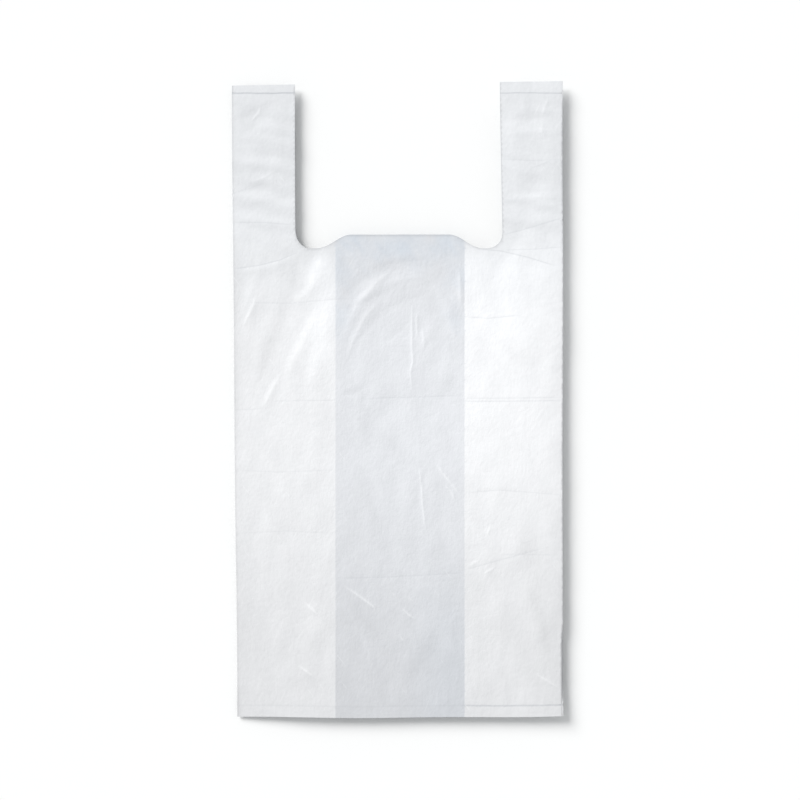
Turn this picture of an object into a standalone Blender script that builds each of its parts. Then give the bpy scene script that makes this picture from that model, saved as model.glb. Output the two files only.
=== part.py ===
"""Plastic carrier bag, a vest bag made from one blown film tube, empty and lying flat.

The tube is tucked in at both sides, so that two layers lie in the middle and four
along each side. One seal closes the bottom and one closes the top of each handle,
and the mouth with the gap between the handles is cut through every layer.

Metres, +Z up. The back panel lies at z = 0, the handles point to +Y, and the origin
is under the middle of the bag.
"""

import math

import bmesh
import bpy

# Film and folded size
WIDTH = 0.300  # between the outer folds
LENGTH = 0.580  # cut edge to cut edge, handles included
TUCK = 0.090  # depth of the fold on each side
FILM = 0.00002

# Spacing of the four layers, from one to the next
LOOSE_GAP = 0.0012
SEALED_GAP = 0.0001
EDGE_GAP = 0.0004

# Seals, placed from the nearest cut edge
BOTTOM_SKIRT = 0.0105
HANDLE_CREST = 0.0090
SEAL_BAND = 0.0012
SEAL_BEAD = 0.0008
CLOSING_LENGTH = 0.036  # over which the layers close up to a seal

# Cut-out of the mouth, measured from the bottom edge
HANDLE_WIDTH = 0.055
MOUTH_LOW = 0.429
TONGUE_RISE = 0.0125
TONGUE_HALF_WIDTH = 0.047
TONGUE_FOOT = 0.072
ROOT_RADIUS = 0.014

# Fineness
CLOSING_STEPS = 5
BODY_SPANS = 5
FOLD_STEPS = 4
ROOT_STEPS = 6
CUTTER_MARGIN = 0.020

FILM_COLOUR = (0.86, 0.88, 0.90, 1.0)
FILM_ROUGHNESS = 0.38


def clear_scene():
    for item in list(bpy.data.objects):
        bpy.data.objects.remove(item, do_unlink=True)


def ease(share):
    """Smooth step from 0 to 1."""
    share = min(max(share, 0.0), 1.0)
    return share * share * (3.0 - 2.0 * share)


def layer_gap(along):
    """Spacing of the layers at a distance along the bag from its bottom edge."""
    for inward, margin in ((along, BOTTOM_SKIRT), (LENGTH - along, HANDLE_CREST)):
        if inward < margin - SEAL_BAND / 2:
            return EDGE_GAP + (SEALED_GAP - EDGE_GAP) * inward / (margin - SEAL_BAND / 2)
        past_seal = inward - margin - SEAL_BAND / 2
        if past_seal < CLOSING_LENGTH:
            return SEALED_GAP + (LOOSE_GAP - SEALED_GAP) * ease(past_seal / CLOSING_LENGTH)
    return LOOSE_GAP


def stations():
    """Distances along the bag at which its section is set."""
    closing = [SEAL_BAND / 2 + CLOSING_LENGTH * step / CLOSING_STEPS for step in range(CLOSING_STEPS + 1)]
    low = [BOTTOM_SKIRT + distance for distance in closing]
    high = [LENGTH - HANDLE_CREST - distance for distance in reversed(closing)]
    span = (high[0] - low[-1]) / BODY_SPANS
    body = [low[-1] + span * step for step in range(1, BODY_SPANS)]
    bottom_edge = [0.0, BOTTOM_SKIRT - SEAL_BAND / 2]
    top_edge = [LENGTH - HANDLE_CREST + SEAL_BAND / 2, LENGTH]
    return bottom_edge + low + body + high + top_edge


def half_turn(centre_x, centre_z, radius, outward):
    """Points of a rounded fold, from below its centre to above it."""
    angles = [math.pi * step / FOLD_STEPS - math.pi / 2 for step in range(FOLD_STEPS + 1)]
    return [(centre_x + outward * radius * math.cos(a), centre_z + radius * math.sin(a)) for a in angles]


def section(gap):
    """Closed mid-line of the film across the bag, as (x, z) points."""
    radius = gap / 2
    back = FILM / 2
    edge = (WIDTH - FILM) / 2 - radius
    inner = WIDTH / 2 - TUCK + radius
    right = [(0.0, back), (inner, back)]
    right += half_turn(edge, back + radius, radius, 1)
    right += [((edge + inner) / 2, back + gap)]
    right += half_turn(inner, back + 3 * radius, radius, -1)
    right += [((edge + inner) / 2, back + 2 * gap)]
    right += half_turn(edge, back + 5 * radius, radius, 1)
    right += [(inner, back + 3 * gap), (0.0, back + 3 * gap)]
    left = [(-x, z) for x, z in reversed(right[1:-1])]
    return right + left


def link(name, mesh):
    item = bpy.data.objects.new(name, mesh)
    bpy.context.scene.collection.objects.link(item)
    return item


def film_tube():
    """The tucked tube as one sheet, open at both ends."""
    mesh = bpy.data.meshes.new("bag")
    shape = bmesh.new()
    rings = []
    for along in stations():
        points = section(layer_gap(along))
        rings.append([shape.verts.new((x, along - LENGTH / 2, z)) for x, z in points])
    for ring, following in zip(rings, rings[1:]):
        for index in range(len(ring)):
            after = (index + 1) % len(ring)
            shape.faces.new((ring[index], ring[after], following[after], following[index]))
    bmesh.ops.recalc_face_normals(shape, faces=shape.faces)
    shape.to_mesh(mesh)
    shape.free()
    return link("bag", mesh)


def hide_tool(item):
    item.hide_render = True
    item.display_type = "WIRE"
    return item


def seal_beads():
    """Bars that fuse the four layers along the seals."""
    mesh = bpy.data.meshes.new("seal_beads")
    shape = bmesh.new()
    height = 3 * SEALED_GAP
    for along in (BOTTOM_SKIRT, LENGTH - HANDLE_CREST):
        bead = bmesh.ops.create_cube(shape, size=1.0)["verts"]
        bmesh.ops.scale(shape, verts=bead, vec=(WIDTH - SEALED_GAP, SEAL_BEAD, height))
        centre = (0.0, along - LENGTH / 2, (FILM + height) / 2)
        bmesh.ops.translate(shape, verts=bead, vec=centre)
    shape.to_mesh(mesh)
    shape.free()
    return hide_tool(link("seal_beads", mesh))


def mouth_outline():
    """Right half of the cut, from the middle of the tongue to above the handle."""
    side = WIDTH / 2 - HANDLE_WIDTH
    centre_x = side - ROOT_RADIUS
    centre_y = MOUTH_LOW + ROOT_RADIUS
    points = [(TONGUE_HALF_WIDTH, MOUTH_LOW + TONGUE_RISE), (TONGUE_FOOT, MOUTH_LOW)]
    for step in range(ROOT_STEPS + 1):
        angle = math.pi / 2 * (step / ROOT_STEPS - 1)
        points.append((centre_x + ROOT_RADIUS * math.cos(angle), centre_y + ROOT_RADIUS * math.sin(angle)))
    points.append((side, LENGTH + CUTTER_MARGIN))
    return points


def mouth_cutter():
    """Prism that cuts the mouth and the gap between the handles."""
    right = mouth_outline()
    left = [(-x, y) for x, y in reversed(right)]
    mesh = bpy.data.meshes.new("mouth_cutter")
    shape = bmesh.new()
    corners = [shape.verts.new((x, y - LENGTH / 2, -CUTTER_MARGIN)) for x, y in right + left]
    floor = shape.faces.new(corners)
    raised = bmesh.ops.extrude_face_region(shape, geom=[floor])["geom"]
    top = [part for part in raised if isinstance(part, bmesh.types.BMVert)]
    bmesh.ops.translate(shape, verts=top, vec=(0.0, 0.0, 2 * CUTTER_MARGIN))
    bmesh.ops.recalc_face_normals(shape, faces=shape.faces)
    shape.to_mesh(mesh)
    shape.free()
    return hide_tool(link("mouth_cutter", mesh))


def film_material():
    material = bpy.data.materials.new("milky_film")
    material.use_nodes = True
    shader = material.node_tree.nodes["Principled BSDF"]
    shader.inputs["Base Color"].default_value = FILM_COLOUR
    shader.inputs["Roughness"].default_value = FILM_ROUGHNESS
    shader.inputs["Metallic"].default_value = 0.0
    return material


def add_boolean(item, name, operation, tool):
    step = item.modifiers.new(name, "BOOLEAN")
    step.operation = operation
    step.solver = "EXACT"
    step.object = tool


def build_bag():
    bag = film_tube()
    wall = bag.modifiers.new("film thickness", "SOLIDIFY")
    wall.thickness = FILM
    wall.offset = 0.0
    wall.use_even_offset = True
    add_boolean(bag, "seals", "UNION", seal_beads())
    add_boolean(bag, "mouth", "DIFFERENCE", mouth_cutter())
    bag.data.materials.append(film_material())
    return bag


clear_scene()
build_bag()
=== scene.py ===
"""Plastic carrier bag: the creased film of a flat vest bag, and the stage it lies on."""

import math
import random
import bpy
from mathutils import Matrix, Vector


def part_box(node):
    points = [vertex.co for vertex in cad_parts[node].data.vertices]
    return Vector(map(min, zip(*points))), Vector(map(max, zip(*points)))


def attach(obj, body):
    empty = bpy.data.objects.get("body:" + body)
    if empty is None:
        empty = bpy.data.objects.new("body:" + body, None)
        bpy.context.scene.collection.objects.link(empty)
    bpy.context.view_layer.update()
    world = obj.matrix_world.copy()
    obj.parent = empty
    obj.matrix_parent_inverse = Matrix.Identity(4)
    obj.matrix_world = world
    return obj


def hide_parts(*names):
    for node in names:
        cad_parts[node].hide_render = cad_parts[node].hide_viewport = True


bl_info = {
    "name": "Plastic carrier bag",
    "version": (1, 0, 0),
    "blender": (4, 5, 0),
    "location": "3D View > Sidebar > Carrier bag",
    "description": "Makes the creased film of a flat vest bag and the stage it lies on",
    "category": "Object",
}

import bpy
import numpy as np
from bpy.props import (
    FloatProperty,
    FloatVectorProperty,
    IntProperty,
    PointerProperty,
)
from mathutils import Vector, noise
from mathutils.geometry import delaunay_2d_cdt

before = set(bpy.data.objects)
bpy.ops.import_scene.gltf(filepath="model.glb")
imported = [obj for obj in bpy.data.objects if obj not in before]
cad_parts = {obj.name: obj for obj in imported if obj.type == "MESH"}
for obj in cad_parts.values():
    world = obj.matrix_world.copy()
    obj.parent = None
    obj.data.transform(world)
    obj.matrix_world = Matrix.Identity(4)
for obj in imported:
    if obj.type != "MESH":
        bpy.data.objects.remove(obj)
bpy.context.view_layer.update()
BAG_LOW, BAG_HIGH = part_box("bag")
MM = 0.001

# The panels' places in the list of strips round the tube
BACK_STRIP = 0
FRONT_STRIP = 6

# Cut of the mouth: the round roots of the left and right handle, and where the tongue's ends
# slope down, measured from the middle
ROOT_WIDTHS = (0.0125, 0.0145)
ROOT_HEIGHTS = (0.0170, 0.0140)
TONGUE_SLOPE = (0.046, 0.076)

# How much of the numbers in the lists below is used: of a fold line's height, and of a soft
# fold's height and its painted light and shade
CREASE_SHARE = 0.5
SOFT_FOLD_SHARE = 1.4

# Fold lines of the front panel, as places in mm: across from the bag's middle line, and
# up from its bottom edge. Each has a height in mm first (below zero is a valley).
FRONT_CREASES = [
    (-0.09, [(-151, 453.4), (-122, 453.0), (-97, 450.6)]),
    (-0.13, [(-151, 410.2), (-128, 413.4), (-108, 418.5), (-94, 425.2)]),
    (-0.07, [(-140, 379.5), (-98, 378.8), (-84, 380.4), (-58, 382.6), (-44, 383.4)]),
    (-0.06, [(-151, 281.0), (-134, 281.8), (-117, 283.2)]),
    (-0.07, [(-118, 289.0), (-88, 289.8), (-58, 290.0)]),
    (-0.08, [(-34, 291.0), (-9, 292.6), (18, 293.0), (40, 294.0), (60, 294.2)]),
    (-0.08, [(58, 291.8), (104, 292.0), (151, 292.8)]),
    (-0.10, [(58, 289.0), (104, 289.2), (151, 289.8)]),
    (-0.09, [(60, 366.4), (82, 365.0), (110, 367.8)]),
    (-0.09, [(95, 441.0), (120, 447.6), (151, 457.0)]),
    (-0.12, [(71, 428.4), (93, 426.6), (118, 420.6), (143, 412.8)]),
    (-0.08, [(95, 427.4), (122, 428.0), (150, 430.2)]),
    (-0.06, [(95, 509.8), (124, 508.4), (150, 509.0)]),
    (0.06, [(121, 501.2), (139, 508.0)]),
    (-0.05, [(-150, 480.0), (-134, 485.0), (-118, 491.0)]),
    (-0.08, [(-58, 127.0), (-5, 128.6), (60, 132.2)]),
    (-0.09, [(60, 134.6), (93, 144.2), (136, 156.0)]),
    (-0.07, [(60, 205.4), (92, 208.0), (150, 203.6)]),
    (-0.06, [(92, 149.0), (143, 148.8)]),
    (-0.05, [(-150, 226.0), (-112, 224.4), (-62, 226.2)]),
    (-0.05, [(-150, 168.0), (-104, 170.4), (-62, 168.6)]),
]

# Raised streaks where the film was pulled: height and half width in mm, how white the painted highlight
# along them makes the film, then the places.
FRONT_STREAKS = [
    (0.80, 5.0, 0.46, [(-71, 424.0), (-78, 406.0), (-86, 386.0)]),
    (0.40, 4.4, 0.34, [(-78, 393.0), (-88, 386.0), (-100, 381.0)]),
    (0.60, 4.4, 0.38, [(-76, 376.0), (-84, 356.0), (-93, 338.0), (-106, 308.0)]),
    (0.32, 1.4, 0.30, [(-129, 388.0), (-135, 372.0), (-143, 356.0)]),
    (0.38, 1.9, 0.46, [(-110, 314.0), (-117, 299.0), (-126, 281.0)]),
    (0.50, 2.4, 0.20, [(-6, 411.0), (-24, 396.0), (-40, 380.0), (-47, 364.0)]),
    (0.28, 1.6, 0.12, [(-14, 386.0), (-32, 368.0), (-44, 345.0), (-52, 322.0)]),
    (0.31, 0.9, 0.18, [(11.2, 386.0), (11.0, 344.0), (11.8, 324.0), (9.6, 316.0), (11.6, 292.0)]),
    (0.26, 0.9, 0.16, [(15.4, 372.0), (15.8, 347.0)]),
    (0.22, 0.9, 0.12, [(21.0, 358.0), (22.6, 334.0)]),
    (0.18, 1.0, 0.16, [(55.0, 412.0), (55.6, 392.0), (56.4, 374.0)]),
    (0.27, 0.9, 0.20, [(17.0, 234.0), (19.6, 214.0), (21.4, 190.0), (24.6, 166.0)]),
    (0.32, 1.2, 0.32, [(33.0, 232.0), (44.0, 218.0), (57.0, 202.0)]),
    (0.18, 0.9, 0.20, [(40.0, 214.0), (48.0, 206.0), (52.0, 196.0)]),
    (0.37, 1.3, 0.40, [(-53.0, 121.0), (-38.0, 111.0), (-24.0, 101.0), (-22.4, 92.0)]),
    (0.31, 1.2, 0.32, [(1.0, 100.4), (8.0, 94.0), (15.0, 89.4)]),
    (0.24, 0.9, 0.28, [(8.0, 110.0), (12.6, 105.6)]),
    (0.20, 0.8, 0.28, [(0.2, 74.2), (2.8, 70.8)]),
    (0.37, 1.4, 0.40, [(-88.0, 105.6), (-75.4, 93.4)]),
    (0.32, 1.2, 0.36, [(-93.0, 46.8), (-80.0, 37.6)]),
    (0.24, 1.1, 0.28, [(63.5, 138.0), (68.0, 141.0), (73.0, 144.0)]),
    (0.22, 1.0, 0.24, [(77.0, 131.0), (88.0, 137.4)]),
    (0.24, 1.2, 0.24, [(126.0, 40.0), (138.0, 32.0), (148.0, 26.0)]),
    (0.22, 1.0, 0.28, [(84.0, 176.0), (80.0, 165.0)]),
    (0.25, 1.0, 0.24, [(-125.0, 562.0), (-126.4, 555.0), (-134.0, 546.0)]),
    (0.15, 0.9, 0.08, [(-110.0, 502.0), (-122.0, 495.0), (-134.0, 490.0)]),
    (0.22, 1.0, 0.10, [(137.0, 566.0), (134.0, 556.0), (132.0, 548.0)]),
    (0.20, 1.0, 0.08, [(133.0, 544.0), (131.0, 536.0), (134.0, 528.0)]),
]

# Broad soft folds: height in mm, painted light on them (below zero painted shade), half width in mm, places.
SOFT_FOLDS = [
    (0.34, 0.080, 12.0, [(-70, 440), (-69, 410), (-70, 382), (-74, 344), (-82, 308)]),
    (-0.25, -0.030, 7.0, [(-92, 420), (-97, 396), (-106, 366), (-119, 330), (-131, 298)]),
    (0.15, 0.020, 4.0, [(-126, 416), (-137, 386), (-146, 358)]),
    (0.15, 0.030, 3.5, [(-140, 409), (-116, 413), (-94, 422)]),
    (0.10, -0.015, 6.0, [(-120, 398), (-132, 366), (-140, 330)]),
    (0.20, 0.030, 3.6, [(-53, 346), (-46, 364), (-32, 384), (-8, 399), (20, 405)]),
    (-0.20, -0.030, 4.4, [(-56, 372), (-44, 394), (-24, 408), (8, 415), (34, 412)]),
    (-0.15, -0.022, 3.4, [(-42, 340), (-26, 362), (-6, 378), (26, 388)]),
    (-0.10, -0.020, 6.0, [(-54, 430), (-50, 404), (-55, 380)]),
    (0.12, 0.022, 4.0, [(30, 400), (44, 372), (52, 340)]),
    (-0.12, -0.018, 4.0, [(54, 372), (34, 352), (18, 330)]),
    (-0.16, -0.034, 2.2, [(-58, 294), (-42, 298), (-28, 306)]),
    (-0.16, -0.036, 2.2, [(-26, 410), (-10, 416), (8, 419), (28, 418)]),
    (-0.14, -0.034, 1.8, [(-50, 373), (-34, 380), (-20, 387), (-8, 388)]),
    (-0.12, -0.024, 2.4, [(9, 363), (-3, 353), (-16, 341)]),
    (0.12, 0.030, 3.0, [(54, 416), (56, 392), (56, 368)]),
    (0.00, -0.030, 8.0, [(-148, 436), (-149, 350), (-149, 240)]),
    (0.00, 0.022, 14.0, [(100, 574), (100, 510), (100, 440)]),
    (0.00, -0.022, 12.0, [(146, 574), (146, 510), (146, 440)]),
    (0.10, 0.014, 5.0, [(-52, 250), (-30, 228), (-12, 196)]),
    (-0.12, -0.016, 6.0, [(-20, 262), (6, 238), (30, 224)]),
    (0.12, 0.016, 5.0, [(36, 176), (24, 150), (20, 118)]),
    (-0.14, -0.022, 7.0, [(-56, 120), (-34, 96), (-12, 60)]),
    (0.10, 0.016, 4.0, [(-44, 92), (-30, 66), (-24, 40)]),
    (0.16, -0.016, 6.0, [(86, 352), (104, 336), (138, 322)]),
    (-0.16, -0.020, 6.0, [(118, 316), (134, 332), (148, 340)]),
    (-0.10, -0.010, 8.0, [(100, 186), (122, 150), (142, 116)]),
    (0.12, 0.014, 6.0, [(76, 150), (84, 118), (94, 84)]),
    (-0.14, -0.020, 5.0, [(118, 118), (134, 84), (140, 50)]),
    (0.12, 0.016, 5.0, [(-136, 250), (-118, 232), (-100, 196)]),
    (-0.12, -0.014, 6.0, [(-120, 190), (-104, 160), (-98, 128)]),
    (0.10, 0.018, 3.2, [(-143, 528), (-126, 540), (-110, 552)]),
    (-0.12, -0.022, 3.6, [(-148, 548), (-130, 556), (-116, 562)]),
    (-0.12, -0.028, 3.8, [(-148, 480), (-122, 487), (-98, 493)]),
    (0.12, 0.020, 4.4, [(-140, 508), (-118, 510), (-98, 512)]),
    (-0.10, -0.016, 3.0, [(-146, 466), (-120, 470), (-97, 478)]),
    (0.16, 0.036, 4.0, [(95, 533), (118, 536), (146, 534)]),
    (-0.12, -0.026, 3.2, [(96, 545), (120, 547), (148, 551)]),
    (0.18, 0.046, 3.0, [(95, 474), (118, 475), (148, 478)]),
    (-0.14, -0.028, 7.0, [(96, 489), (124, 491), (150, 494)]),
    (0.10, 0.022, 3.0, [(96, 464), (120, 466), (146, 470)]),
    (-0.10, -0.030, 8.0, [(150, 440), (149, 350), (150, 230)]),
]

# Painted light and shade along the bag, standing in for how the light falls on it: darker towards the bottom
# and the handles, with a broad painted reflection high on the right panel. Places in mm up from the bottom
# edge, each with the brightness there.
LEFT_PAINTED_LIGHT = [(0, 0.850), (60, 0.865), (150, 0.925), (235, 0.975), (350, 0.972), (420, 0.935), (500, 0.880)]
MIDDLE_PAINTED_LIGHT = [(0, 0.820), (50, 0.830), (150, 0.925), (240, 0.990), (350, 1.000), (432, 0.950)]
RIGHT_PAINTED_LIGHT = [
    (0, 0.875), (60, 0.885), (120, 0.915), (180, 0.975), (250, 1.030),
    (350, 1.075), (410, 1.075), (450, 0.950), (500, 0.935),
]

# How the painted light and shade runs across each part of the bag below the handles: share of the way
# from its left side to its right side, with the brightness there.
LEFT_PAINTED_LIGHT_ACROSS = [(0.0, 0.945), (0.10, 0.968), (0.3, 0.985), (0.6, 0.992), (0.8, 1.020), (1.0, 1.038)]
MIDDLE_PAINTED_LIGHT_ACROSS = [(0.0, 0.975), (0.3, 0.990), (0.5, 1.004), (1.0, 1.000)]
RIGHT_PAINTED_LIGHT_ACROSS = [(0.0, 1.018), (0.25, 0.997), (0.6, 0.987), (0.8, 0.972), (1.0, 0.945)]

# Fold lines of the back panel, as seen through the bag from the front.
BACK_CREASES = [
    (0.34, [(-151, 287.0), (-60, 288.6), (60, 290.0), (151, 289.2)]),
    (0.28, [(-151, 436.0), (-96, 424.0), (-40, 420.0)]),
    (0.30, [(151, 446.0), (104, 426.0), (62, 398.0)]),
    (0.24, [(-150, 148.0), (-70, 132.0), (20, 144.0)]),
    (0.24, [(150, 206.0), (96, 190.0), (30, 196.0)]),
    (0.22, [(-40, 372.0), (-52, 330.0)]),
    (0.22, [(34, 96.0), (70, 62.0)]),
    (0.24, [(-120, 86.0), (-96, 52.0)]),
]


def distance(name, description, default, precision=2):
    """A length in metres that a user can change."""
    return FloatProperty(
        name=name,
        description=description,
        default=default,
        precision=precision,
        subtype="DISTANCE",
    )


def colour(name, description, default):
    """A colour that a user can change."""
    return FloatVectorProperty(
        name=name,
        description=description,
        default=default,
        subtype="COLOR",
        min=0.0,
        max=1.0,
    )


def portion(name, description, default):
    """A number from 0 to 1 that a user can change."""
    return FloatProperty(
        name=name,
        description=description,
        default=default,
        min=0.0,
        max=1.0,
    )


class BagSizes(bpy.types.PropertyGroup):
    """Sizes of the folded bag."""

    width: distance("Width", "Folded width between the outer folds", BAG_HIGH.x - BAG_LOW.x)
    length: distance("Length", "Length with the handles", BAG_HIGH.y - BAG_LOW.y)
    tuck: distance("Side tuck", "Depth of the fold on each side", 0.090)
    film: distance("Film", "Thickness of the film", 0.00002, precision=6)
    fold_radius: distance(
        "Fold radius",
        "How round the long folds are, across the bag",
        0.0008, precision=5,
    )
    loose_stack: distance(
        "Loose stack",
        "Height of the loose layers, from the back panel to the front",
        0.0060, precision=4,
    )
    sealed_stack: distance("Sealed stack", "Height of the layers at a seal", 0.0003, precision=5)
    bottom_skirt: distance("Bottom skirt", "Film below the bottom seal", 0.0105, precision=4)
    handle_crest: distance("Handle crest", "Film above the seal of a handle", 0.0090, precision=4)
    seal_lean: FloatProperty(
        name="Lean of handle seals",
        description="How far each handle seal drops towards the right, for each metre across the bag",
        default=0.0115,
    )
    handle_width: distance("Handle width", "Width of each handle", 0.055)
    mouth_low: distance("Mouth", "Height of the lowest points of the mouth above the bottom edge", 0.429)
    tongue_rise: distance(
        "Tongue",
        "Height of the tongue above the lowest points of the mouth",
        0.0125, precision=4,
    )
    front_cell: distance("Front cell", "Size of the mesh cells of the front panel", 0.0025, precision=4)
    back_cell: distance("Back cell", "Size of the mesh cells of the back panel", 0.0041, precision=4)
    tuck_cell: distance("Tuck cell", "Size of the mesh cells of the hidden layers", 0.0070, precision=4)


class BagRelief(bpy.types.PropertyGroup):
    """Heights of the waves, wrinkles and creases."""

    swell: distance("Swell", "Height of the broad waves of the film", 0.0010, precision=4)
    wrinkle: distance("Wrinkles", "Height of the middling wrinkles", 0.00046, precision=5)
    crinkle: distance("Crinkle", "Height of the fine crinkle", 0.00006, precision=6)
    crease_width: distance("Crease width", "Half width of a fold line", 0.0011, precision=4)
    edge_lift: distance(
        "Edge lift",
        "How much higher the right and bottom edges stand than the middle",
        0.0030, precision=4,
    )
    left_edge: distance("Left edge", "Height of the front panel along the left edge", 0.0028, precision=4)
    small_creases: IntProperty(
        name="Small creases",
        description="Number of small random creases on each large panel",
        default=70,
    )
    seed: IntProperty(name="Seed", description="Start of the random creases", default=11)


class BagFilm(bpy.types.PropertyGroup):
    """Colours and finish of the film."""

    # The two-layer colour is greyer partly because fewer layers of film lie there, and partly as painted
    # shade: the floor's shade under the bag, seen through the film.
    two_layers: colour("Two layers", "Colour where two layers lie on each other", (0.757, 0.771, 0.800))
    four_layers: colour("Four layers", "Colour where four layers lie on each other", (0.820, 0.827, 0.843))
    cool: colour(
        "Blue tinge",
        "Tinge of the blotches near the mouth and, fainter, of the handles",
        (0.890, 0.930, 0.965),
    )
    # Also the colour of the painted highlight along the streaks' crests; the scratches use it too.
    stretched_and_highlit: colour(
        "Stretched film",
        "Colour where the film is stretched white along a streak",
        (0.97, 0.98, 0.99),
    )
    # Also the colour of the painted shade in the bottoms of the sharp folds.
    weld_and_crease_shade: colour(
        "Welded film",
        "Colour of the melted line of a seal and of a sharp fold",
        (0.42, 0.44, 0.47),
    )
    weld_share: portion("Seals", "How clearly the melted lines of the seals show", 0.75)
    # Strength of the painted shade in the bottoms of the sharp folds.
    crease_shade_share: portion("Fold lines", "How clearly the bottoms of the sharp folds show", 0.27)
    scratch_share: portion("Scratches", "How clearly the thin slanting scratches show", 0.16)
    roughness: portion("Roughness", "Roughness of the film's surface", 0.52)
    sheen: portion("Sheen", "How much of the light the film's surface reflects", 0.04)


class BagStage(bpy.types.PropertyGroup):
    """Floor, lights and camera."""

    floor_colour: colour("Floor", "Colour of the floor", (0.92, 0.925, 0.925))
    key_strength: FloatProperty(
        name="Key light",
        description="Strength of the soft light from the upper left",
        default=3.2,
    )
    key_height: FloatProperty(
        name="Key height",
        description="How high the soft light stands above the horizon",
        default=math.radians(32.0),
        subtype="ANGLE",
    )
    key_softness: FloatProperty(
        name="Key softness",
        description="Angle that the soft light spans, as seen from the bag",
        default=math.radians(32.0),
        subtype="ANGLE",
    )
    key_colour: colour("Key colour", "Colour of the soft light", (1.0, 0.99, 0.98))
    fill_colour: colour("Fill colour", "Colour of the pale surroundings", (0.975, 0.99, 1.0))
    fill_strength: FloatProperty(
        name="Fill",
        description="Strength of the pale surroundings",
        default=0.56,
    )
    lens: FloatProperty(
        name="Lens",
        description="Focal length of the camera",
        default=100.0,
        subtype="DISTANCE_CAMERA",
    )
    view_width: distance("View width", "Width of the camera's view at the height of the bag", 0.7328)


def ease(share):
    """Smooth step from 0 to 1, for a number or an array."""
    share = np.clip(share, 0.0, 1.0)
    return share * share * (3.0 - 2.0 * share)


def ramp(value, start, end):
    return ease((value - start) / (end - start))


# The film as one flat strip, opened at the middle of the back panel


def strips(sizes):
    """The strips round the tube: x at the start and end, layer at the start and end, length, bulge.

    Layers count from the back panel, 0, to the front panel, 3.
    """
    edge = sizes.width / 2 - sizes.fold_radius
    inner = sizes.width / 2 - sizes.tuck + sizes.fold_radius
    turn = math.pi * sizes.fold_radius
    right = [
        (0.0, edge, 0, 0, edge, 0),
        (edge, edge, 0, 1, turn, 1),
        (edge, inner, 1, 1, edge - inner, 0),
        (inner, inner, 1, 2, turn, -1),
        (inner, edge, 2, 2, edge - inner, 0),
        (edge, edge, 2, 3, turn, 1),
    ]
    front = [(edge, -edge, 3, 3, 2 * edge, 0)]
    left = [(-b, -a, q, p, length, -bulge) for a, b, p, q, length, bulge in reversed(right)]
    return right + front + left


def strip_starts(parts):
    lengths = [part[4] for part in parts]
    return np.concatenate([[0.0], np.cumsum(lengths)])


def strip_places(parts, sizes, along_strip):
    """x and layer for places along the opened strip."""
    starts = strip_starts(parts)
    index = np.clip(np.searchsorted(starts, along_strip, side="right") - 1, 0, len(parts) - 1)
    table = np.array(parts, float)[index]
    share = np.clip((along_strip - starts[index]) / table[:, 4], 0.0, 1.0)
    angle = math.pi * share
    turning = table[:, 5] != 0
    flat_x = table[:, 0] + (table[:, 1] - table[:, 0]) * share
    x = np.where(turning, table[:, 0] + table[:, 5] * sizes.fold_radius * np.sin(angle), flat_x)
    layer = table[:, 2] + (table[:, 3] - table[:, 2]) * (1.0 - np.cos(angle)) / 2
    return x, np.where(turning, layer, table[:, 2])


def mouth_height(x, sizes):
    """Height of the cut at x, or the full length where the handles stand."""
    side = sizes.width / 2 - sizes.handle_width
    away = np.abs(x)
    tongue = sizes.tongue_rise * (1.0 - ramp(away, *TONGUE_SLOPE))
    root_width = np.where(x < 0, *ROOT_WIDTHS)
    root_height = np.where(x < 0, *ROOT_HEIGHTS)
    into_root = np.clip((away - side + root_width) / root_width, 0.0, 1.0)
    root = root_height * (1.0 - np.sqrt(1.0 - into_root**2))
    return np.where(away < side, sizes.mouth_low + tongue + root, sizes.length)


def strip_cells(part, sizes):
    if part[5]:
        return part[4] / 5
    return {0: sizes.back_cell, 3: sizes.front_cell}.get(part[2], sizes.tuck_cell)


def columns(part, start, sizes):
    """Places across one strip at which its border has points."""
    count = max(1, round(part[4] / strip_cells(part, sizes)))
    return start + part[4] * np.arange(count) / count


def border(parts, sizes):
    """Closed outline of the opened film, anticlockwise, as (along the strip, up) points."""
    side = sizes.width / 2 - sizes.handle_width
    starts = strip_starts(parts)
    across = [columns(part, start, sizes) for part, start in zip(parts, starts)]
    bottom = np.concatenate(across + [[starts[-1]]])
    root_spread = np.sin(np.linspace(0.0, math.pi / 2, 7))[:-1]
    rims = []
    for part, start, places in zip(parts, starts, across):
        extra = []
        if not part[5]:
            slope = (part[1] - part[0]) / part[4]
            for sign, root_width in zip((-1, 1), ROOT_WIDTHS):
                for x in sign * (side - root_width * (1.0 - root_spread)):
                    extra.append(start + (x - part[0]) / slope)
                cut = start + (sign * side - part[0]) / slope
                extra += [cut - 1e-6, cut + 1e-6]
        extra = [place for place in extra if start < place < start + part[4]]
        kept = [p for p in places if all(abs(p - q) > 0.0008 for q in extra) or p == start]
        rims.append(np.array(sorted(kept + extra)))
    top = np.concatenate(rims + [[starts[-1]]])
    height = mouth_height(strip_places(parts, sizes, top)[0], sizes)
    loop = [(s, 0.0) for s in bottom]
    side_steps = np.linspace(0.0, 1.0, 101)
    loop += [(starts[-1], height[-1] * t) for t in side_steps[1:-1]]
    for k in range(len(top) - 1, -1, -1):
        loop.append((top[k], height[k]))
        if k and abs(height[k - 1] - height[k]) > 0.05:
            rows = np.linspace(height[k], height[k - 1], 55)[1:-1]
            middle = (top[k] + top[k - 1]) / 2
            loop += [(middle, row) for row in rows]
    loop += [(0.0, height[0] * t) for t in side_steps[-2:0:-1]]
    return np.array(loop)


def crease_points(places, offsets, step):
    """Rows of points along a fold line and beside it, on the panel."""
    line = np.array(places, float) * MM
    rows = []
    for a, b in zip(line, line[1:]):
        run = b - a
        length = np.linalg.norm(run)
        across = np.array([-run[1], run[0]]) / length
        for t in (np.arange(max(1, round(length / step))) + 0.5) / max(1, round(length / step)):
            rows += [a + run * t + across * offset for offset in offsets]
    return np.array(rows)


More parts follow.
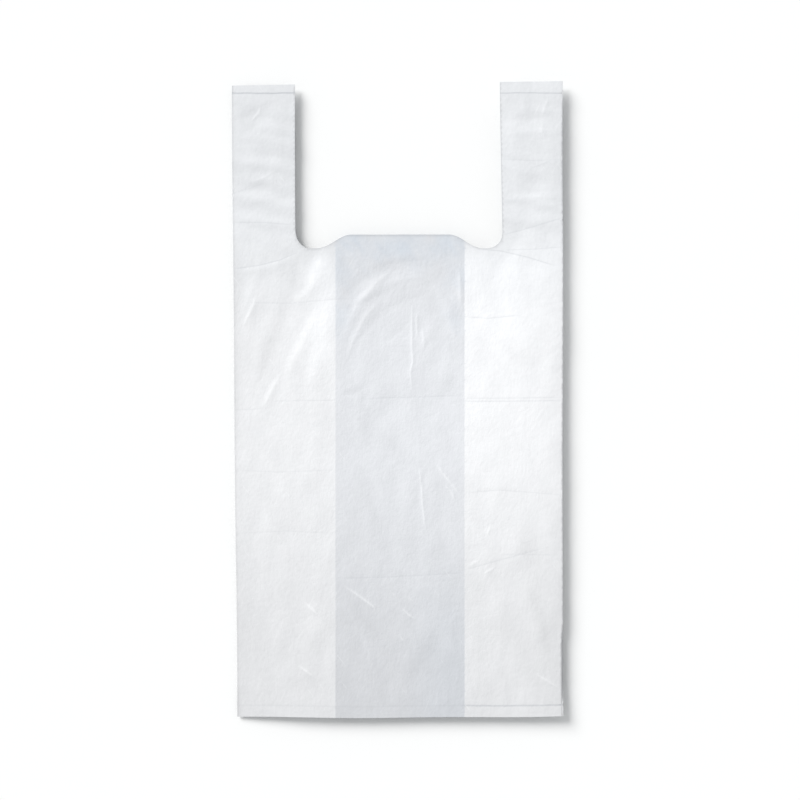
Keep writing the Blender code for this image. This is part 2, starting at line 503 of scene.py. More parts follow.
def spread_points(parts, sizes, relief):
    """Points inside the opened film: an even grid on each strip, and closer rows along the creases."""
    starts = strip_starts(parts)
    rows = []
    fine = []
    for part, start in zip(parts, starts):
        cell = strip_cells(part, sizes)
        count = max(1, round(part[4] / cell))
        lane = start + part[4] * (np.arange(count + 1) if part[5] else np.arange(count) + 0.5) / count
        row_step = 0.0035 if part[5] else cell
        steps = round(sizes.length / row_step)
        ups = sizes.length * (np.arange(steps) + 0.5) / steps
        s, y = np.meshgrid(lane, ups)
        if not part[5]:
            s[:, 1:-1] += (cell * 0.25 * (np.arange(len(ups)) % 2 * 2 - 1))[:, None]
        rows.append(np.column_stack([s.ravel(), y.ravel(), np.full(s.size, cell)]))
    width = relief.crease_width
    panels = ((FRONT_STRIP, FRONT_CREASES, FRONT_STREAKS), (BACK_STRIP, BACK_CREASES, []))
    for panel, creases, streaks in panels:
        for height, places in creases:
            offsets = width * np.array([-1.7, -0.75, 0.0, 0.75, 1.7])
            fine.append((panel, crease_points(places, offsets, 0.0022)))
        for height, half, white, places in streaks:
            offsets = half * MM * np.array([-1.5, -0.75, 0.0, 0.75, 1.5, 2.5])
            fine.append((panel, crease_points(places, offsets, 0.0022)))
    return np.concatenate(rows), fine


def panel_to_strip(points, front, parts):
    """Moves points of the front or back panel onto the opened strip."""
    starts = strip_starts(parts)
    x = points[:, 0]
    if front:
        place = starts[FRONT_STRIP] + (parts[FRONT_STRIP][0] - x)
    else:
        place = np.where(x >= 0, x, starts[-1] + x)
    return np.column_stack([place, points[:, 1]])


def near_any(s, y, buckets, cell, clear):
    """Whether a point in the buckets lies within a distance of this one."""
    column, row = int(s // cell), int(y // cell)
    return any(
        (s - a) ** 2 + (y - b) ** 2 < clear * clear
        for i in (-1, 0, 1)
        for j in (-1, 0, 1)
        for a, b in buckets.get((column + i, row + j), ())
    )


def thin_out(points, keep_off, distance):
    """Drops the points that lie within a distance of a point to keep off."""
    cell = distance.max()
    buckets = {}
    for s, y in keep_off:
        buckets.setdefault((int(s // cell), int(y // cell)), []).append((s, y))
    pairs = zip(points, distance)
    return np.array([(s, y) for (s, y), clear in pairs if not near_any(s, y, buckets, cell, clear)])


def opened_film(sizes, relief):
    """Vertices and triangles of the opened film, and its strips."""
    parts = strips(sizes)
    loop = border(parts, sizes)
    grid, fine = spread_points(parts, sizes, relief)
    seals = []
    places = np.arange(0.0006, strip_starts(parts)[-1], 0.0028)
    across = strip_places(parts, sizes, places)[0]
    for offset in (-0.0011, -0.0004, 0.0004, 0.0011):
        for ups in (np.full(len(places), sizes.bottom_skirt), handle_seal(across, sizes)):
            seals.append(np.column_stack([places, ups + offset]))
    creases = []
    for panel, points in fine:
        points = points[np.abs(points[:, 0]) < sizes.width / 2 - 0.0015]
        creases.append(panel_to_strip(points, panel == FRONT_STRIP, parts))
    band = []
    for sign in (-1, 1):
        for offset in (-0.0004, 0.0004):
            ups = np.arange(0.0012, sizes.mouth_low, 0.0030)
            x = np.full(len(ups), sign * (sizes.width / 2 - sizes.tuck) + offset)
            band.append(panel_to_strip(np.column_stack([x, ups]), True, parts))
            band.append(panel_to_strip(np.column_stack([x, ups]), False, parts))
    lines = np.concatenate(band + seals + creases)
    lines = first_come(lines, 0.0005)
    grid_clear = 0.55 * grid[:, 2]
    grid = thin_out(grid[:, :2], lines, grid_clear)
    inside = np.concatenate([lines, grid])
    x = strip_places(parts, sizes, inside[:, 0])[0]
    clear_top = mouth_height(x, sizes) - inside[:, 1] > 0.0004
    side = sizes.width / 2 - sizes.handle_width
    clear_root = (np.abs(np.abs(x) - side) > 0.0006) | (inside[:, 1] < sizes.mouth_low - 0.0004)
    inside = inside[clear_top & clear_root & (inside[:, 1] > 0.0004)]
    inside = inside[(inside[:, 0] > 0.0004) & (inside[:, 0] < strip_starts(parts)[-1] - 0.0004)]
    inside = thin_out(inside, loop, np.full(len(inside), 0.0005))
    points = [Vector(p) for p in np.concatenate([loop, inside]) * 1000.0]
    out = delaunay_2d_cdt(points, [], [list(range(len(loop)))], 0, 1e-5, True)
    flat = np.array([tuple(p) for p in out[0]]) / 1000.0
    return flat, [tuple(face) for face, source in zip(out[2], out[5]) if source], parts


def first_come(points, distance):
    """Keeps each point that isn't within a distance of one kept before it."""
    buckets = {}
    kept = []
    for s, y in points:
        if not near_any(s, y, buckets, distance, distance):
            kept.append((s, y))
            buckets.setdefault((int(s // distance), int(y // distance)), []).append((s, y))
    return np.array(kept)


# Relief of the film


def ripple(x, y, size_x, size_y, layer):
    """Even noise from -1 to 1 with waves of about the given sizes."""
    return np.array([noise.noise((a / size_x, b / size_y, layer)) for a, b in zip(x, y)])


def line_distance(x, y, places):
    """Distance to a broken line, the side it lies on, and the share of the line's length there."""
    line = np.array(places, float) * MM
    lengths = np.linalg.norm(np.diff(line, axis=0), axis=1)
    total = lengths.sum()
    best = np.full(len(x), 1e9)
    sign = np.ones(len(x))
    share = np.zeros(len(x))
    done = 0.0
    for a, b, length in zip(line, line[1:], lengths):
        run = (b - a) / length
        along = (x - a[0]) * run[0] + (y - a[1]) * run[1]
        across = (y - a[1]) * run[0] - (x - a[0]) * run[1]
        held = np.clip(along, 0.0, length)
        away = np.hypot(x - a[0] - run[0] * held, y - a[1] - run[1] * held)
        nearer = away < best
        best = np.where(nearer, away, best)
        sign = np.where(nearer, np.sign(across), sign)
        share = np.where(nearer, (done + held) / total, share)
        done += length
    return best, sign, share


def crease_relief(x, y, creases, width):
    """Height of the fold lines, and a mask of the painted shade along their sharp bottoms."""
    height = np.zeros(len(x))
    mask = np.zeros(len(x))
    for tall, places in creases:
        away, sign, share = line_distance(x, y, places)
        fade = np.clip(np.minimum(share, 1.0 - share) * 8.0, 0.30, 1.0)
        off = sign * away / width
        profile = np.exp(-(off**2)) + 0.3 * off * np.exp(-((off / 1.8) ** 2))
        height += CREASE_SHARE * tall * MM * fade * profile
        sharp = np.exp(-((away / (0.5 * width)) ** 2))
        # Painted shade along the fold's sharp bottom.
        mask = np.maximum(mask, np.minimum(fade * abs(tall) / 0.12, 1.0) * sharp)
    return height, mask


def streak_relief(x, y, streaks):
    """Height of the pulled streaks, steep towards the upper left, and a mask of the painted highlight on
    their crests.
    """
    height = np.zeros(len(x))
    mask = np.zeros(len(x))
    frayed = 0.75 + 0.5 * ripple(x, y, 0.0045, 0.0070, 31.0)
    for tall, half, white, places in streaks:
        away, sign, share = line_distance(x, y, places)
        first, last = np.array(places[0]), np.array(places[-1])
        run = last - first
        lit = 1.0 if run[0] + run[1] > 0 else -1.0
        lens = 0.30 + 0.70 * np.sin(math.pi * np.clip(share, 0.0, 1.0)) ** 0.8
        flank = np.where(sign * lit > 0, 1.0, 2.4) * half * lens * MM
        fade = ease(np.minimum(share, 1.0 - share) * 3.5 + 0.05)
        height += tall * MM * fade * lens * np.exp(-((away / flank) ** 2))
        # Painted highlight along the crest.
        crest = np.exp(-((away / (0.8 * half * lens * MM)) ** 2))
        mask = np.maximum(mask, white * fade * frayed * crest)
    return height, mask


def soft_fold_relief(x, y):
    """Height of the broad soft folds, and the light and shade painted on them."""
    height = np.zeros(len(x))
    light_and_shade = np.zeros(len(x))
    for tall, fold_light, half, places in SOFT_FOLDS:
        away, sign, share = line_distance(x, y, places)
        lens = 0.35 + 0.65 * np.sin(math.pi * np.clip(share, 0.0, 1.0))
        near = lens * np.exp(-((away / (half * lens * MM)) ** 2))
        height += SOFT_FOLD_SHARE * tall * MM * near
        light_and_shade += SOFT_FOLD_SHARE * fold_light * near
    return height, light_and_shade


def small_crease_relief(x, y, count, seed, sizes):
    """Many short creases of random place and slant."""
    source = random.Random(seed)
    height = np.zeros(len(x))
    for _ in range(count):
        middle_x = source.uniform(-0.5, 0.5) * sizes.width
        middle_y = source.uniform(0.02, 1.0) * sizes.length
        angle = math.radians(source.choice([70, 110, 58, 122, 90]) + source.gauss(0.0, 16.0))
        half = source.uniform(0.006, 0.024)
        wide = source.uniform(0.0012, 0.0030)
        tall = source.choice([-1, 1]) * source.uniform(0.00006, 0.00022)
        along = (x - middle_x) * math.cos(angle) + (y - middle_y) * math.sin(angle)
        across = (y - middle_y) * math.cos(angle) - (x - middle_x) * math.sin(angle)
        across = across + 0.06 * along * along / half
        height += tall * np.exp(-((along / half) ** 2)) * np.exp(-np.abs(across) / wide)
    return height


def handle_seal(x, sizes):
    """How far up the bag the seals of the handles run."""
    return sizes.length - sizes.handle_crest - sizes.seal_lean * x


def seal_distance(x, y, sizes):
    """Distance to the nearest seal's line, which wavers a little."""
    waver = 0.00014 * np.sin(x * 120.0) + 0.00008 * np.sin(x * 410.0 + 1.0)
    bottom = np.abs(y - sizes.bottom_skirt - 0.3 * waver)
    top = np.abs(y - handle_seal(x, sizes) - waver)
    return np.minimum(bottom, top)


def front_level(x, y, sizes, relief):
    """Height of the front panel above the floor, without the wrinkles."""
    right = ramp(x, 0.055, 0.150)
    bottom = 0.55 * (1.0 - ramp(y, 0.0, 0.110))
    handle = 0.80 * ramp(y, sizes.mouth_low - 0.07, sizes.mouth_low + 0.05)
    raised = sizes.loose_stack + 0.0004 + relief.edge_lift * np.maximum(np.maximum(right, bottom), handle)
    down = np.clip((-x - 0.078) / 0.072, 0.0, 1.0) ** 1.3
    return raised + (relief.left_edge - raised) * down


def stack_height(x, y, level, sizes):
    """Height from the back panel to the front panel, without the wrinkles."""
    closing = 1.0 - np.exp(-((seal_distance(x, y, sizes) / 0.020) ** 1.3))
    beyond = (y < sizes.bottom_skirt) | (y > handle_seal(x, sizes))
    closing = np.where(beyond, 0.22 * closing, closing)
    loose = np.minimum(sizes.loose_stack, level - 0.0004)
    return sizes.sealed_stack + (loose - sizes.sealed_stack) * closing


def seal_gathers(x, y, sizes):
    """Small gathers that run off a seal."""
    away = seal_distance(x, y, sizes)
    reach = np.exp(-away / 0.016) * (1.0 - np.exp(-away / 0.0015))
    return 0.00022 * reach * ripple(x, y, 0.0045, 0.030, 7.0)


def front_relief(x, y, sizes, relief):
    """Waves, wrinkles and creases of the front panel, with masks of the painted shade along its fold lines
    and of the painted highlight on its crests.
    """
    broad = ripple(x + 0.3 * y, y, 0.085, 0.120, 1.0)
    pulls = ripple(x + 0.55 * y, 0.55 * x - y, 0.024, 0.075, 2.0)
    middling = ripple(x, y, 0.017, 0.026, 3.0)
    across = ripple(x - 0.25 * y, y + 0.22 * x, 0.050, 0.011, 5.0)
    fine = ripple(x, y, 0.0060, 0.0085, 4.0)
    creases, crease_shade = crease_relief(x, y, FRONT_CREASES, relief.crease_width)
    streaks, crest_highlight = streak_relief(x, y, FRONT_STREAKS)
    small = small_crease_relief(x, y, relief.small_creases, relief.seed, sizes)
    calm = 1.0 - 0.75 * np.exp(-((seal_distance(x, y, sizes) / 0.012) ** 2))
    handle = ramp(y, sizes.mouth_low - 0.01, sizes.mouth_low + 0.03)
    height = relief.swell * (0.6 * broad + 0.4 * pulls) * (1.0 - 0.4 * handle)
    height += relief.wrinkle * (middling + 1.5 * handle * across)
    height += relief.crinkle * fine + small + soft_fold_relief(x, y)[0]
    return height * calm + creases + streaks + seal_gathers(x, y, sizes), crease_shade, crest_highlight


def back_relief(x, y, sizes, relief):
    """Waves, wrinkles and creases of the back panel, with a mask of the painted shade along its fold lines.
    """
    broad = 0.5 + 0.5 * ripple(x - 0.3 * y, y, 0.090, 0.110, 11.0)
    middling = ripple(x, y, 0.018, 0.027, 12.0)
    creases, crease_shade = crease_relief(x, y, BACK_CREASES, relief.crease_width)
    small = small_crease_relief(x, y, relief.small_creases, relief.seed + 1, sizes)
    height = 0.7 * relief.swell * broad + 0.6 * relief.wrinkle * (1.0 + middling) + small + creases
    calm = 1.0 - 0.8 * np.exp(-((seal_distance(x, y, sizes) / 0.012) ** 2))
    return height * calm, crease_shade


def lean(x, y, layer, sizes):
    """The bag as it lies: its sides and edges run a little askew."""
    share = y / sizes.length
    inner = sizes.width / 2 - sizes.tuck
    # The left side stands further out towards the handles.
    left_edge = -0.1480 - 0.0048 * ramp(share, -0.15, 1.0)
    left_inner = -0.0580
    slack = (-x - inner) / sizes.tuck
    left = left_inner + (left_edge - left_inner) * slack
    middle = left_inner + (inner - left_inner) * (x + inner) / (2 * inner)
    out = np.where(x < -inner, left, np.where(x < inner, middle, x))
    # The right handle's inner edge leans towards the middle.
    rise = np.clip((y - sizes.mouth_low) / (sizes.length - sizes.mouth_low), 0.0, 1.0)
    outward = np.clip((x - inner) / sizes.tuck, 0.0, 1.0)
    out = out - np.where(x > inner, 0.0045 * rise * (1.0 - outward), 0.0)
    out = out + 0.0003 * np.sin(y * 19.0 + 0.6) * np.clip(np.abs(x) / 0.15, 0, 1) ** 2
    # Low down on the right the front layers stand back, and the edge of the back ones shows.
    peeking = (1.0 - ramp(y, 0.070, 0.088)) * ramp(layer, 1.2, 1.8)
    out = out - np.where(x > inner, 0.0014 * peeking * outward, 0.0)
    # The handles' ends are cut askew, and the bottom edge bows.
    handle_end = np.where(x > 0, 0.0013, -0.0014) + np.where(x > 0, 0.010, 0.008) * (
        np.abs(x) - sizes.width / 2 + sizes.handle_width / 2
    ) * np.sign(x)
    bottom_bow = 0.0016 * (x / 0.15) ** 2 * (x > 0) + 0.0004 * np.sin(x * 40.0)
    up = y + rise * handle_end + bottom_bow * (1.0 - ramp(y, 0.0, 0.10))
    return out, up - sizes.length / 2


def read_tones(place, tones):
    """The brightness a list of tones gives at each place."""
    return np.interp(place, [at for at, light_and_shade in tones], [light_and_shade for at, light_and_shade in tones])


def painted_light_and_shade(x, y, sizes):
    """Painted light and shade on the film, with painted shade at its left fold; also darker along the
    mouth's cut.
    """
    inner = sizes.width / 2 - sizes.tuck
    on_left, on_right = x < -inner, x > inner
    up = y / MM
    outward = (np.abs(x) - inner) / sizes.tuck
    light_and_shade = np.where(on_right, read_tones(up, RIGHT_PAINTED_LIGHT), read_tones(up, MIDDLE_PAINTED_LIGHT))
    light_and_shade = np.where(on_left, read_tones(up, LEFT_PAINTED_LIGHT), light_and_shade)
    across = read_tones(x / (2 * inner) + 0.5, MIDDLE_PAINTED_LIGHT_ACROSS)
    across = np.where(on_right, read_tones(outward, RIGHT_PAINTED_LIGHT_ACROSS), across)
    across = np.where(on_left, read_tones(1.0 - outward, LEFT_PAINTED_LIGHT_ACROSS), across)
    below = 1.0 - ramp(y, sizes.mouth_low - 0.03, sizes.mouth_low + 0.02)
    light_and_shade = light_and_shade * (1.0 + (across - 1.0) * below)
    # Painted light and shade of the soft folds.
    light_and_shade = light_and_shade + soft_fold_relief(x, y)[1]
    # Painted shade along the left fold.
    fold = 0.20 * np.exp(-(((x + sizes.width / 2) / 0.0013) ** 2))
    below_cut = np.maximum(mouth_height(x, sizes) - y, 0.0)
    on_mouth = np.abs(x) < sizes.width / 2 - sizes.handle_width
    cut = np.where(on_mouth, 0.17 * np.exp(-below_cut / 0.0011) + 0.03 * np.exp(-below_cut / 0.008), 0.0)
    return light_and_shade * (1.0 - fold) * (1.0 - cut)


def film_coolness(x, y, sizes):
    """Where the film is painted bluer: in blotches under the mouth, low down, and faintly on the handles."""
    blotch = 0.5 + 0.8 * ripple(x, y, 0.017, 0.022, 21.0) + 0.4 * ripple(x + y, x - y, 0.006, 0.018, 22.0)
    beside = ramp(np.abs(x), 0.030, 0.058) * ramp(y, 0.330, 0.380)
    under_mouth = ramp(y, 0.395, 0.435)
    middle = 1.0 - ramp(np.abs(x), sizes.width / 2 - sizes.tuck, sizes.width / 2 - sizes.tuck + 0.0005)
    handles = 0.24 * ramp(y, 0.330, 0.470) * (1.0 - middle)
    low_right = 0.35 * ramp(x, -0.010, 0.050) * (1.0 - ramp(y, 0.040, 0.170))
    patches = blotch * np.maximum(0.7 * beside, under_mouth) + low_right
    return np.clip(patches * middle + handles, 0.0, 1.0)


def weld_mark(x, y, sizes):
    """The melted lines of the seals: clear on the handles and at the bottom's right, faint elsewhere."""
    handles = 1.20 - 0.45 * ramp(x, -0.01, 0.01)
    clear = np.where(y > sizes.mouth_low, handles, 0.25 + 0.75 * ramp(x, 0.055, 0.062))
    return clear * np.exp(-((seal_distance(x, y, sizes) / 0.0005) ** 2))


def folded_places(flat, parts, sizes, relief):
    """Where each point of the opened film lies in the folded bag, and its masks."""
    x, layer = strip_places(parts, sizes, flat[:, 0])
    y = flat[:, 1]
    top_relief, top_crease_shade, crest_highlights = front_relief(x, y, sizes, relief)
    under_relief, under_crease_shade = back_relief(x, y, sizes, relief)
    level = front_level(x, y, sizes, relief)
    stack = stack_height(x, y, level, sizes)
    give = np.clip((stack - sizes.sealed_stack) / (0.5 * sizes.loose_stack), 0.0, 1.0)
    back = level - stack + give * under_relief + (1.0 - give) * top_relief
    back = np.maximum(back, 0.0002)
    thick = np.maximum(level + top_relief - back, 0.0002)
    wave = 0.06 * np.sin(x * 70.0 + y * 23.0) * np.sin(math.pi * layer / 3)
    z = sizes.film / 2 + back + thick * np.clip(layer / 3 + wave, 0.0, 1.0)
    out_x, out_y = lean(x, y, layer, sizes)
    inner = sizes.width / 2 - sizes.tuck
    masks = {
        "layers": ramp(np.abs(x), inner - 0.0005, inner + 0.0005),
        # Painted shade along the bottoms of the fold lines.
        "fold_shade": np.where(layer > 2.5, top_crease_shade, np.where(layer < 0.5, under_crease_shade, 0.0)),
        # Painted highlight along the streaks' crests.
        "streak": np.where(layer > 2.5, crest_highlights, 0.0),
        "weld": weld_mark(x, y, sizes),
        # Painted light and shade, with painted shade along the left fold.
        "light_and_shade": painted_light_and_shade(x, y, sizes),
        "cool": film_coolness(x, y, sizes),
    }
    return np.column_stack([out_x, out_y, z]), masks


def weld_seam(points, flat, faces, width):
    """Joins the two ends of the strip at the middle of the back panel."""
    first = {round(flat[i, 1] * 1e6): i for i in np.flatnonzero(flat[:, 0] < 1e-7)}
    twin = {}
    for i in np.flatnonzero(flat[:, 0] > width - 1e-7):
        twin[i] = first[round(flat[i, 1] * 1e6)]
    joined = [tuple(twin.get(i, i) for i in reversed(face)) for face in faces]
    used = sorted({i for face in joined for i in face})
    order = {old: new for new, old in enumerate(used)}
    return used, [tuple(order[i] for i in face) for face in joined]


def film_mesh(sizes, relief):
    """The folded bag as one sheet, with its masks as attributes and the opened film as UV map."""
    flat, faces, parts = opened_film(sizes, relief)
    points, masks = folded_places(flat, parts, sizes, relief)
    round_tube = strip_starts(parts)[-1]
    used, joined = weld_seam(points, flat, faces, round_tube)
    mesh = bpy.data.meshes.new("carrier_bag_film")
    mesh.from_pydata(points[used].tolist(), [], joined)
    for name, values in masks.items():
        layer = mesh.attributes.new(name, "FLOAT", "POINT")
        layer.data.foreach_set("value", np.asarray(values, float)[used])
    opened = mesh.uv_layers.new(name="opened_film")
    corners = np.empty(len(mesh.loops), int)
    mesh.loops.foreach_get("vertex_index", corners)
    places = flat[used][corners].reshape(-1, 3, 2)
    across = places[:, :, 0]
    across[(across < 1e-7) & (across.max(axis=1, keepdims=True) > round_tube / 2)] = round_tube
    opened.data.foreach_set("uv", places.ravel())
    mesh.update()
    return mesh


def select_only(item):
    for other in bpy.context.selected_objects:
        other.select_set(False)
    item.select_set(True)
    bpy.context.view_layer.objects.active = item


# Materials


class Nodes:
    """Short ways to add and join nodes in one material."""

    def __init__(self, material):
        material.use_nodes = True
        self.tree = material.node_tree
        self.shader = self.tree.nodes["Principled BSDF"]

    def add(self, kind, **values):
        node = self.tree.nodes.new(kind)
        for name, value in values.items():
            setattr(node, name, value)
        return node

    def join(self, source, target):
        self.tree.links.new(source, target)

    def attribute(self, name):
        return self.add("ShaderNodeAttribute", attribute_name=name).outputs["Fac"]

    def noise(self, vector, scale, detail, roughness=0.5):
        node = self.add("ShaderNodeTexNoise")
        node.inputs["Scale"].default_value = scale
        node.inputs["Detail"].default_value = detail
        node.inputs["Roughness"].default_value = roughness
        self.join(vector, node.inputs["Vector"])
        return node.outputs["Fac"]

    def scratches(self, vector, angle, scale, least):
        """Thin slanting lines: 1 on a line, 0 off it."""
        turn = self.add("ShaderNodeMapping")
        turn.inputs["Rotation"].default_value = (0.0, 0.0, angle)
        self.join(vector, turn.inputs["Vector"])
        drawn_out = self.scaled(turn.outputs["Vector"], (1.0, 0.075, 1.0))
        node = self.add("ShaderNodeMapRange")
        node.inputs["From Min"].default_value = least
        node.inputs["From Max"].default_value = least + 0.10
        self.join(self.noise(drawn_out, scale, 2.0), node.inputs["Value"])
        return node.outputs["Result"]

    def creases(self, vector, scale):
        """Crisp ridges of crumpled film, of many sizes."""
        node = self.add("ShaderNodeTexNoise", noise_type="RIDGED_MULTIFRACTAL")
        node.inputs["Scale"].default_value = scale
        node.inputs["Detail"].default_value = 4.0
        node.inputs["Roughness"].default_value = 0.6
        node.inputs["Distortion"].default_value = 0.6
        self.join(vector, node.inputs["Vector"])
        return node.outputs["Fac"]

    def facets(self, vector, scale):
        """Distance to the ridges between crumpled facets."""
        node = self.add("ShaderNodeTexVoronoi", feature="DISTANCE_TO_EDGE")
        node.inputs["Scale"].default_value = scale
        self.join(vector, node.inputs["Vector"])
        return node.outputs["Distance"]

    def scaled(self, vector, scale):
        node = self.add("ShaderNodeMapping")
        node.inputs["Scale"].default_value = scale
        self.join(vector, node.inputs["Vector"])
        return node.outputs["Vector"]

    def span(self, value, low, high):
        node = self.add("ShaderNodeMapRange")
        node.inputs["To Min"].default_value = low
        node.inputs["To Max"].default_value = high
        self.join(value, node.inputs["Value"])
        return node.outputs["Result"]

    def combined(self, first, second, operation="ADD"):
        node = self.add("ShaderNodeMath", operation=operation)
        for value, socket in ((first, node.inputs[0]), (second, node.inputs[1])):
            if isinstance(value, (int, float)):
                socket.default_value = value
            else:
                self.join(value, socket)
        return node.outputs[0]

    def mix(self, factor, first, second, blend_type="MIX"):
        node = self.add("ShaderNodeMix", data_type="RGBA", blend_type=blend_type)
        if isinstance(factor, float):
            node.inputs["Factor"].default_value = factor
        else:
            self.join(factor, node.inputs["Factor"])
        for value, socket in ((first, node.inputs[6]), (second, node.inputs[7])):
            if isinstance(value, tuple):
                socket.default_value = value
            else:
                self.join(value, socket)
        return node.outputs[2]

    def bump(self, height, distance, strength, normal=None):
        node = self.add("ShaderNodeBump")
        node.inputs["Distance"].default_value = distance
        node.inputs["Strength"].default_value = strength
        self.join(height, node.inputs["Height"])
        if normal is not None:
            self.join(normal, node.inputs["Normal"])
        return node.outputs["Normal"]


def film_material(film):
    """Milky film: whiter where more layers lie on each other, with grain, mottle, welds, painted light and
    shade, painted shade in the fold lines and painted highlights along the streaks.
    """
    material = bpy.data.materials.new("milky_film")
    nodes = Nodes(material)
    place = nodes.add("ShaderNodeTexCoord").outputs["Object"]
    opened = nodes.add("ShaderNodeUVMap", uv_map="opened_film").outputs["UV"]
    cloud = nodes.noise(place, 22.0, 3.0)
    mottle = nodes.noise(nodes.scaled(place, (1.0, 0.8, 1.0)), 190.0, 4.0, 0.62)
    grain = nodes.noise(opened, 900.0, 3.0, 0.65)
    crinkle = nodes.noise(nodes.scaled(opened, (1.0, 0.7, 1.0)), 330.0, 4.0, 0.62)
    facets = nodes.facets(opened, 210.0)
    two = (*film.two_layers, 1.0)
    four = (*film.four_layers, 1.0)
    base = nodes.mix(nodes.attribute("layers"), two, four)
    base = nodes.mix(nodes.attribute("cool"), base, (*film.cool, 1.0), "MULTIPLY")
    shade = nodes.combined(nodes.span(cloud, 0.95, 1.05), nodes.span(mottle, 0.955, 1.045), "MULTIPLY")
    shade = nodes.combined(shade, nodes.span(grain, 0.965, 1.035), "MULTIPLY")
    # Painted light and shade scale the film's colour.
    shade = nodes.combined(shade, nodes.attribute("light_and_shade"), "MULTIPLY")
    tint = nodes.add("ShaderNodeCombineColor")
    for channel in tint.inputs:
        nodes.join(shade, channel)
    base = nodes.mix(1.0, base, tint.outputs[0], "MULTIPLY")
    welds = nodes.combined(nodes.attribute("weld"), film.weld_share, "MULTIPLY")
    base = nodes.mix(welds, base, (*film.weld_and_crease_shade, 1.0))
    # Painted shade along the bottoms of the fold lines, in the weld colour.
    folds = nodes.combined(nodes.attribute("fold_shade"), film.crease_shade_share, "MULTIPLY")
    base = nodes.mix(folds, base, (*film.weld_and_crease_shade, 1.0))
    lines = nodes.combined(
        nodes.scratches(opened, math.radians(38.0), 520.0, 0.66),
        nodes.scratches(opened, math.radians(-24.0), 430.0, 0.67),
        "MAXIMUM",
    )
    base = nodes.mix(nodes.combined(lines, film.scratch_share, "MULTIPLY"), base, (*film.stretched_and_highlit, 1.0))
    # Painted highlight along the streaks' crests.
    base = nodes.mix(nodes.attribute("streak"), base, (*film.stretched_and_highlit, 1.0))
    nodes.join(base, nodes.shader.inputs["Base Color"])
    rough = nodes.span(mottle, film.roughness - 0.05, film.roughness + 0.07)
    nodes.join(rough, nodes.shader.inputs["Roughness"])
    soft = nodes.bump(nodes.creases(nodes.scaled(opened, (1.0, 0.6, 1.0)), 42.0), 0.0007, 0.35)
    soft = nodes.bump(crinkle, 0.0005, 0.6, soft)
    soft = nodes.bump(facets, 0.0003, 0.12, soft)
    nodes.join(nodes.bump(grain, 0.00012, 0.5, soft), nodes.shader.inputs["Normal"])
    nodes.shader.inputs["Specular IOR Level"].default_value = film.sheen
    return material


def floor_material(stage):
    material = bpy.data.materials.new("pale_floor")
    nodes = Nodes(material)
    place = nodes.add("ShaderNodeTexCoord").outputs["Object"]
    speck = nodes.span(nodes.noise(place, 3.0, 2.0), 0.995, 1.005)
    tint = nodes.add("ShaderNodeCombineColor")
    for channel, value in zip(tint.inputs, stage.floor_colour):
        nodes.join(nodes.combined(speck, value, "MULTIPLY"), channel)
    nodes.join(tint.outputs[0], nodes.shader.inputs["Base Color"])
    nodes.shader.inputs["Roughness"].default_value = 0.9
    nodes.shader.inputs["Specular IOR Level"].default_value = 0.1
    return material


# Operators


class BAG_OT_film(bpy.types.Operator):
    """Make the creased film of the bag"""

    bl_idname = "carrier_bag.film"
    bl_label = "Carrier bag film"
    bl_options = {"REGISTER", "UNDO"}

    def execute(self, context):
        sizes = context.scene.bag_sizes
        mesh = film_mesh(sizes, context.scene.bag_relief)
        bag = bpy.data.objects.new("carrier_bag_film", mesh)
        context.scene.collection.objects.link(bag)
        mesh.materials.append(film_material(context.scene.bag_film))
        select_only(bag)
        wall = bag.modifiers.new("film", "SOLIDIFY")
        wall.thickness = sizes.film
        wall.offset = 0.0
        bpy.ops.object.modifier_apply(modifier=wall.name)
        bpy.ops.object.shade_smooth_by_angle(angle=math.radians(75.0))
        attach(bag, "root")
        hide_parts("bag")
        return {"FINISHED"}


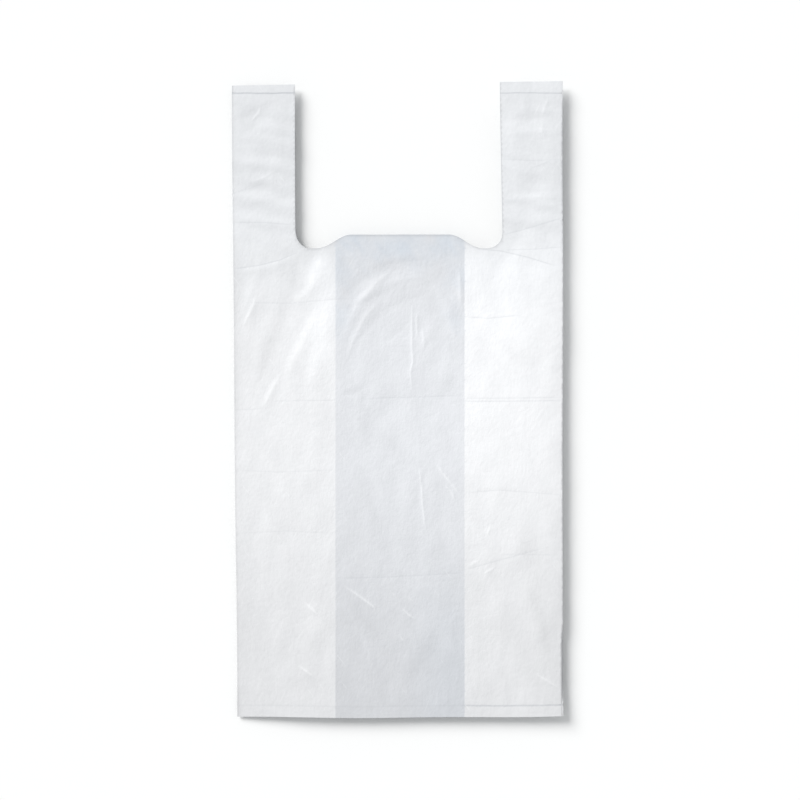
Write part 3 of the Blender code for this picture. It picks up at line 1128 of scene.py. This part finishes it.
class BAG_OT_stage(bpy.types.Operator):
    """Make the pale floor, the soft light and the camera above the bag"""

    bl_idname = "carrier_bag.stage"
    bl_label = "Carrier bag stage"
    bl_options = {"REGISTER", "UNDO"}

    def execute(self, context):
        stage = context.scene.bag_stage
        bpy.ops.mesh.primitive_plane_add(size=12.0, location=(0.0, 0.0, -0.0002))
        floor = context.object
        floor.name = "pale_floor"
        bpy.ops.object.transform_apply(location=True)
        floor.data.materials.append(floor_material(stage))
        self.add_key(context, stage)
        world = bpy.data.worlds.new("pale_surroundings")
        world.use_nodes = True
        background = world.node_tree.nodes["Background"]
        background.inputs["Color"].default_value = (*stage.fill_colour, 1.0)
        background.inputs["Strength"].default_value = stage.fill_strength
        context.scene.world = world
        context.scene.view_settings.view_transform = "Standard"
        self.add_camera(context, stage)
        return {"FINISHED"}

    def add_key(self, context, stage):
        data = bpy.data.lights.new("key_light", "SUN")
        data.energy = stage.key_strength
        data.angle = stage.key_softness
        data.color = stage.key_colour
        light = bpy.data.objects.new("key_light", data)
        level = math.cos(stage.key_height) * math.sqrt(0.5)
        towards = Vector((-level, level, math.sin(stage.key_height)))
        light.location = towards
        light.rotation_euler = (-towards).to_track_quat("-Z", "Y").to_euler()
        context.scene.collection.objects.link(light)

    def add_camera(self, context, stage):
        data = bpy.data.cameras.new("camera")
        data.lens = stage.lens
        camera = bpy.data.objects.new("camera", data)
        distance = stage.view_width * stage.lens / data.sensor_width
        camera.location = (0.0010, 0.0003, distance + BAG_HIGH.z)
        context.scene.collection.objects.link(camera)
        context.scene.camera = camera


class BAG_PT_sidebar(bpy.types.Panel):
    bl_idname = "BAG_PT_sidebar"
    bl_label = "Carrier bag"
    bl_space_type = "VIEW_3D"
    bl_region_type = "UI"
    bl_category = "Carrier bag"

    def draw(self, context):
        for label, group, operator in (
            ("Sizes", context.scene.bag_sizes, None),
            ("Relief", context.scene.bag_relief, None),
            ("Film", context.scene.bag_film, BAG_OT_film.bl_idname),
            ("Stage", context.scene.bag_stage, BAG_OT_stage.bl_idname),
        ):
            box = self.layout.box()
            box.label(text=label)
            for name in group.__annotations__:
                box.prop(group, name)
            if operator:
                box.operator(operator)


GROUPS = {
    "bag_sizes": BagSizes,
    "bag_relief": BagRelief,
    "bag_film": BagFilm,
    "bag_stage": BagStage,
}
CLASSES = (*GROUPS.values(), BAG_OT_film, BAG_OT_stage, BAG_PT_sidebar)


def register():
    for item in CLASSES:
        bpy.utils.register_class(item)
    for name, group in GROUPS.items():
        setattr(bpy.types.Scene, name, PointerProperty(type=group))


def unregister():
    for name in GROUPS:
        delattr(bpy.types.Scene, name)
    for item in reversed(CLASSES):
        bpy.utils.unregister_class(item)


def main():
    register()
    bpy.ops.carrier_bag.film()
    bpy.ops.carrier_bag.stage()


if __name__ == "__main__":
    main()
